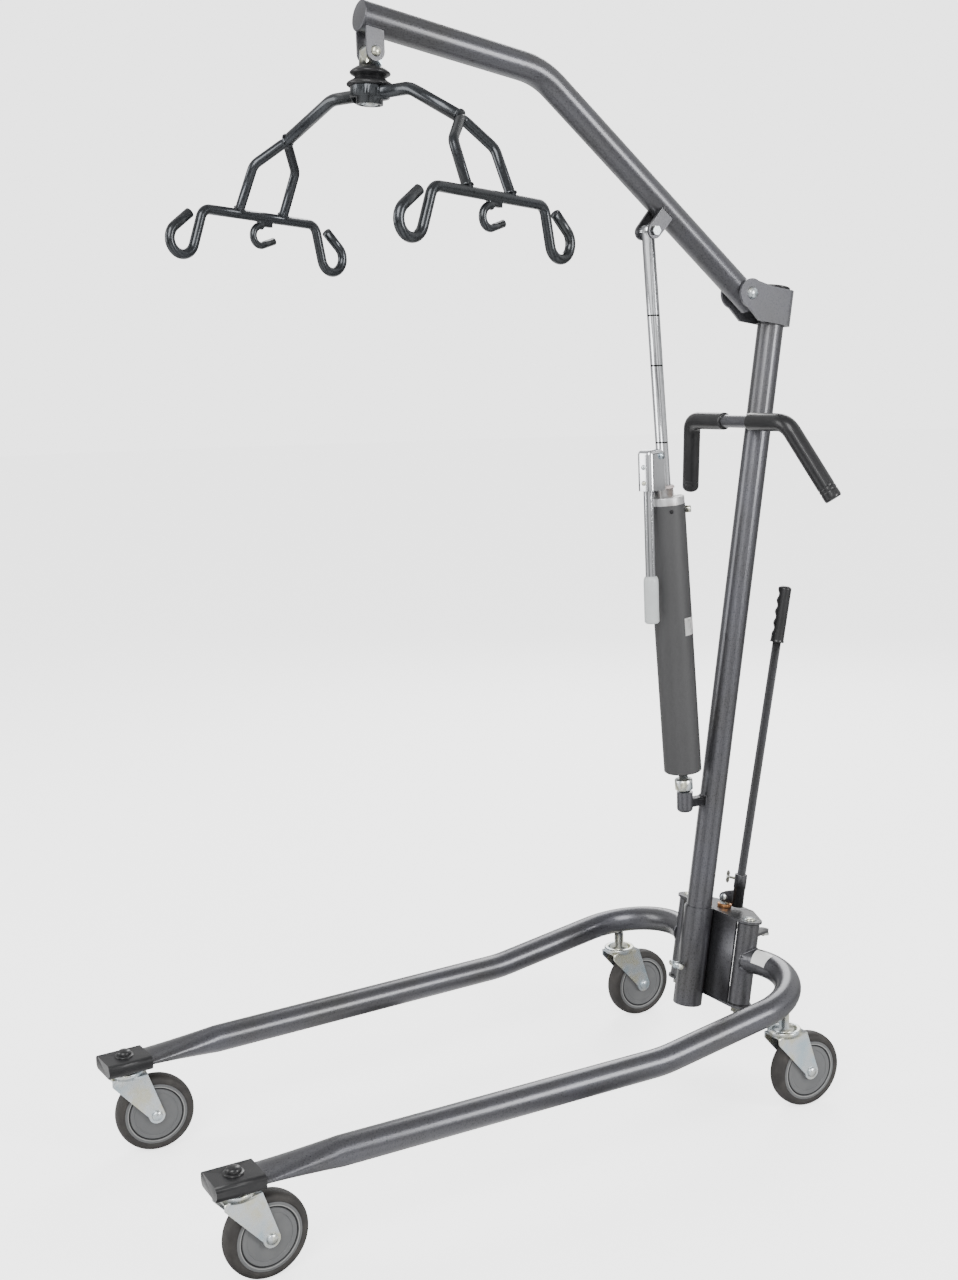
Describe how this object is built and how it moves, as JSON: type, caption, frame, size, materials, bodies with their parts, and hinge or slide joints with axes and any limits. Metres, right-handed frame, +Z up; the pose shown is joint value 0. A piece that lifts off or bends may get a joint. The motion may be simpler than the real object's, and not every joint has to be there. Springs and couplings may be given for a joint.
{
  "type": "patient lift hoist",
  "caption": "Mobile floor lift with a hand-pumped hydraulic boom, swivelling sling spreader, push handle and legs that open on casters.",
  "frame": {"origin": "on the floor, under the middle of the whole hoist's box", "axes": "+Z up, -Y towards the open front ends of the legs, +X to the side of the left leg"},
  "size_m": [0.5804, 1.2145, 1.7576],
  "materials": {
    "frame_paint": "silver-vein hammered enamel, semi-gloss",
    "yoke_paint": "matte grey paint",
    "spreader_paint": "dark hammered enamel",
    "zinc": "zinc plated with a faint yellow cast",
    "chrome": "polished",
    "black_plastic": "moulded, fine texture",
    "black_rubber": "soft sheen",
    "pump_paint": "matte dark grey powder coat",
    "pump_silver": "silver paint, worn at the edge",
    "grey_plastic": "moulded light grey",
    "copper_bush": "copper coloured, sintered",
    "tyre_rubber": "grey-brown tread rubber",
    "wheel_plastic": "mid-grey moulding"
  },
  "bodies": {
    "base": {"mast_tube": "frame_paint", "mast_cap": "black_plastic", "base_socket": "frame_paint", "mast_lock_screw": "zinc", "base_bracket": "frame_paint", "pivot_bolts": "zinc", "pivot_seals": "black_rubber", "shifter_bush": "copper_bush", "boom_yoke": "yoke_paint", "boom_pivot_bolt": "zinc", "handle_bar": "frame_paint", "handle_grip_left": "black_rubber", "handle_grip_right": "black_rubber", "pump_seat": "frame_paint"},
    "left_leg": {"leg_left": "frame_paint", "leg_pivot_left": "frame_paint", "leg_cap_left": "black_plastic", "caster_stems_left": "zinc"},
    "right_leg": {"leg_right": "frame_paint", "leg_pivot_right": "frame_paint", "leg_cap_right": "black_plastic", "caster_stems_right": "zinc"},
    "boom": {"boom_tube": "frame_paint", "pump_clevis": "frame_paint", "clevis_bolt": "zinc", "hanger_lugs": "frame_paint", "swivel_bolt": "zinc"},
    "hanger": {"swivel_eye": "zinc", "swivel_nut": "zinc"},
    "spreader": {"spreader_bar": "spreader_paint", "swivel_boot": "black_rubber"},
    "pump": {"pump_ball_foot": "zinc", "pump_barrel": "pump_paint", "pump_head": "pump_silver", "pump_lever_pin": "zinc"},
    "ram": {"pump_rod": "chrome"},
    "pump_handle": {"pump_lever": "chrome", "pump_grip": "grey_plastic"},
    "valve": {"release_valve": "zinc"},
    "crank": {"shifter_shaft": "zinc"},
    "shift_lever": {"shifter_lever": "frame_paint", "shifter_grip": "black_rubber"},
    "left_link": {"shifter_link_left": "zinc"},
    "right_link": {"shifter_link_right": "zinc"},
    "caster_front_left": {"fork_front_left": "zinc", "axle_front_left": "zinc"},
    "wheel_front_left": {"hub_front_left": "wheel_plastic", "tyre_front_left": "tyre_rubber"},
    "caster_front_right": {"fork_front_right": "zinc", "axle_front_right": "zinc"},
    "wheel_front_right": {"hub_front_right": "wheel_plastic", "tyre_front_right": "tyre_rubber"},
    "caster_rear_left": {"fork_rear_left": "zinc", "axle_rear_left": "zinc"},
    "wheel_rear_left": {"hub_rear_left": "wheel_plastic", "tyre_rear_left": "tyre_rubber"},
    "caster_rear_right": {"fork_rear_right": "zinc", "axle_rear_right": "zinc"},
    "wheel_rear_right": {"hub_rear_right": "wheel_plastic", "tyre_rear_right": "tyre_rubber"}
  },
  "joints": [
    {"name": "boom_lift", "type": "hinge", "parent": "base", "child": "boom", "pos_m": [0, 0.50818, 1.3469], "axis": [1, 0, 0], "range_deg": [0, 75]},
    {"name": "ram_tilt", "type": "hinge", "parent": "base", "child": "pump", "pos_m": [0, 0.37877, 0.486], "axis": [1, 0, 0], "range_deg": [-2.6, 0.05]},
    {"name": "rod_slide", "type": "slide", "parent": "pump", "child": "ram", "axis": [0, 0.0666, -0.9978], "range_m": [0, 0.2616]},
    {"name": "pump_stroke", "type": "hinge", "parent": "pump", "child": "pump_handle", "pos_m": [0.00742, 0.31584, 1.08614], "axis": [-0.9511, -0.3083, -0.0206], "range_deg": [0, 65]},
    {"name": "valve_turn", "type": "hinge", "parent": "pump", "child": "valve", "pos_m": [0, 0.34495, 0.99287], "axis": [0.515, 0.8553, 0.0571], "range_deg": [0, 270]},
    {"name": "hanger_swing", "type": "hinge", "parent": "boom", "child": "hanger", "pos_m": [0, -0.17172, 1.686], "axis": [-1, 0, 0], "range_deg": [-15, 80]},
    {"name": "spreader_spin", "type": "hinge", "parent": "hanger", "child": "spreader", "pos_m": [0, -0.17172, 1.686], "axis": [0, 0.0698, 0.9976], "continuous": true},
    {"name": "shifter_turn", "type": "hinge", "parent": "base", "child": "crank", "pos_m": [0, 0.46486, 0.27714], "axis": [0, 0.159, 0.9873], "range_deg": [0, 110]},
    {"name": "shifter_tilt", "type": "hinge", "parent": "crank", "child": "shift_lever", "pos_m": [0, 0.46759, 0.29412], "axis": [-0.4226, 0.8948, -0.1441], "range_deg": [0, 8]},
    {"name": "left_leg_open", "type": "hinge", "parent": "base", "child": "left_leg", "pos_m": [0.084, 0.44098, 0.19995], "axis": [0, 0.159, 0.9873], "range_deg": [0, 15]},
    {"name": "right_leg_open", "type": "hinge", "parent": "base", "child": "right_leg", "pos_m": [-0.084, 0.44098, 0.19995], "axis": [0, -0.159, -0.9873], "range_deg": [0, 15]},
    {"name": "left_link_turn", "type": "hinge", "parent": "crank", "child": "left_link", "pos_m": [0.00716, 0.46471, 0.24475], "axis": [0, 0.159, 0.9873], "range_deg": [-115, 0.05]},
    {"name": "right_link_turn", "type": "hinge", "parent": "crank", "child": "right_link", "pos_m": [-0.00716, 0.45387, 0.24042], "axis": [0, 0.159, 0.9873], "range_deg": [-106, 0.05]},
    {"name": "swivel_front_left", "type": "hinge", "parent": "left_leg", "child": "caster_front_left", "pos_m": [0.2345, -0.57022, 0.137], "axis": [0, 0, 1], "continuous": true},
    {"name": "spin_front_left", "type": "hinge", "parent": "caster_front_left", "child": "wheel_front_left", "pos_m": [0.23166, -0.52852, 0.0635], "axis": [0.9977, 0.068, 0], "continuous": true},
    {"name": "swivel_front_right", "type": "hinge", "parent": "right_leg", "child": "caster_front_right", "pos_m": [-0.2345, -0.57022, 0.137], "axis": [0, 0, 1], "continuous": true},
    {"name": "spin_front_right", "type": "hinge", "parent": "caster_front_right", "child": "wheel_front_right", "pos_m": [-0.22912, -0.52877, 0.0635], "axis": [0.9917, -0.1288, 0], "continuous": true},
    {"name": "swivel_rear_left", "type": "hinge", "parent": "left_leg", "child": "caster_rear_left", "pos_m": [0.2395, 0.39977, 0.137], "axis": [0, 0, 1], "continuous": true},
    {"name": "spin_rear_left", "type": "hinge", "parent": "caster_rear_left", "child": "wheel_rear_left", "pos_m": [0.24191, 0.44151, 0.0635], "axis": [0.9983, -0.0576, 0], "continuous": true},
    {"name": "swivel_rear_right", "type": "hinge", "parent": "right_leg", "child": "caster_rear_right", "pos_m": [-0.2395, 0.39977, 0.137], "axis": [0, 0, 1], "continuous": true},
    {"name": "spin_rear_right", "type": "hinge", "parent": "caster_rear_right", "child": "wheel_rear_right", "pos_m": [-0.23892, 0.44157, 0.0635], "axis": [0.9999, -0.014, 0], "continuous": true}
  ],
  "couplings": [
    {"joint": "ram_tilt", "follows": "boom_lift", "ratio": -0.03409},
    {"joint": "rod_slide", "follows": "boom_lift", "m_per_rad": 0.19975},
    {"joint": "left_leg_open", "follows": "shifter_turn", "ratio": 0.13636},
    {"joint": "right_leg_open", "follows": "shifter_turn", "ratio": 0.13636},
    {"joint": "left_link_turn", "follows": "shifter_turn", "ratio": -1.0427},
    {"joint": "right_link_turn", "follows": "shifter_turn", "ratio": -0.96027}
  ]
}
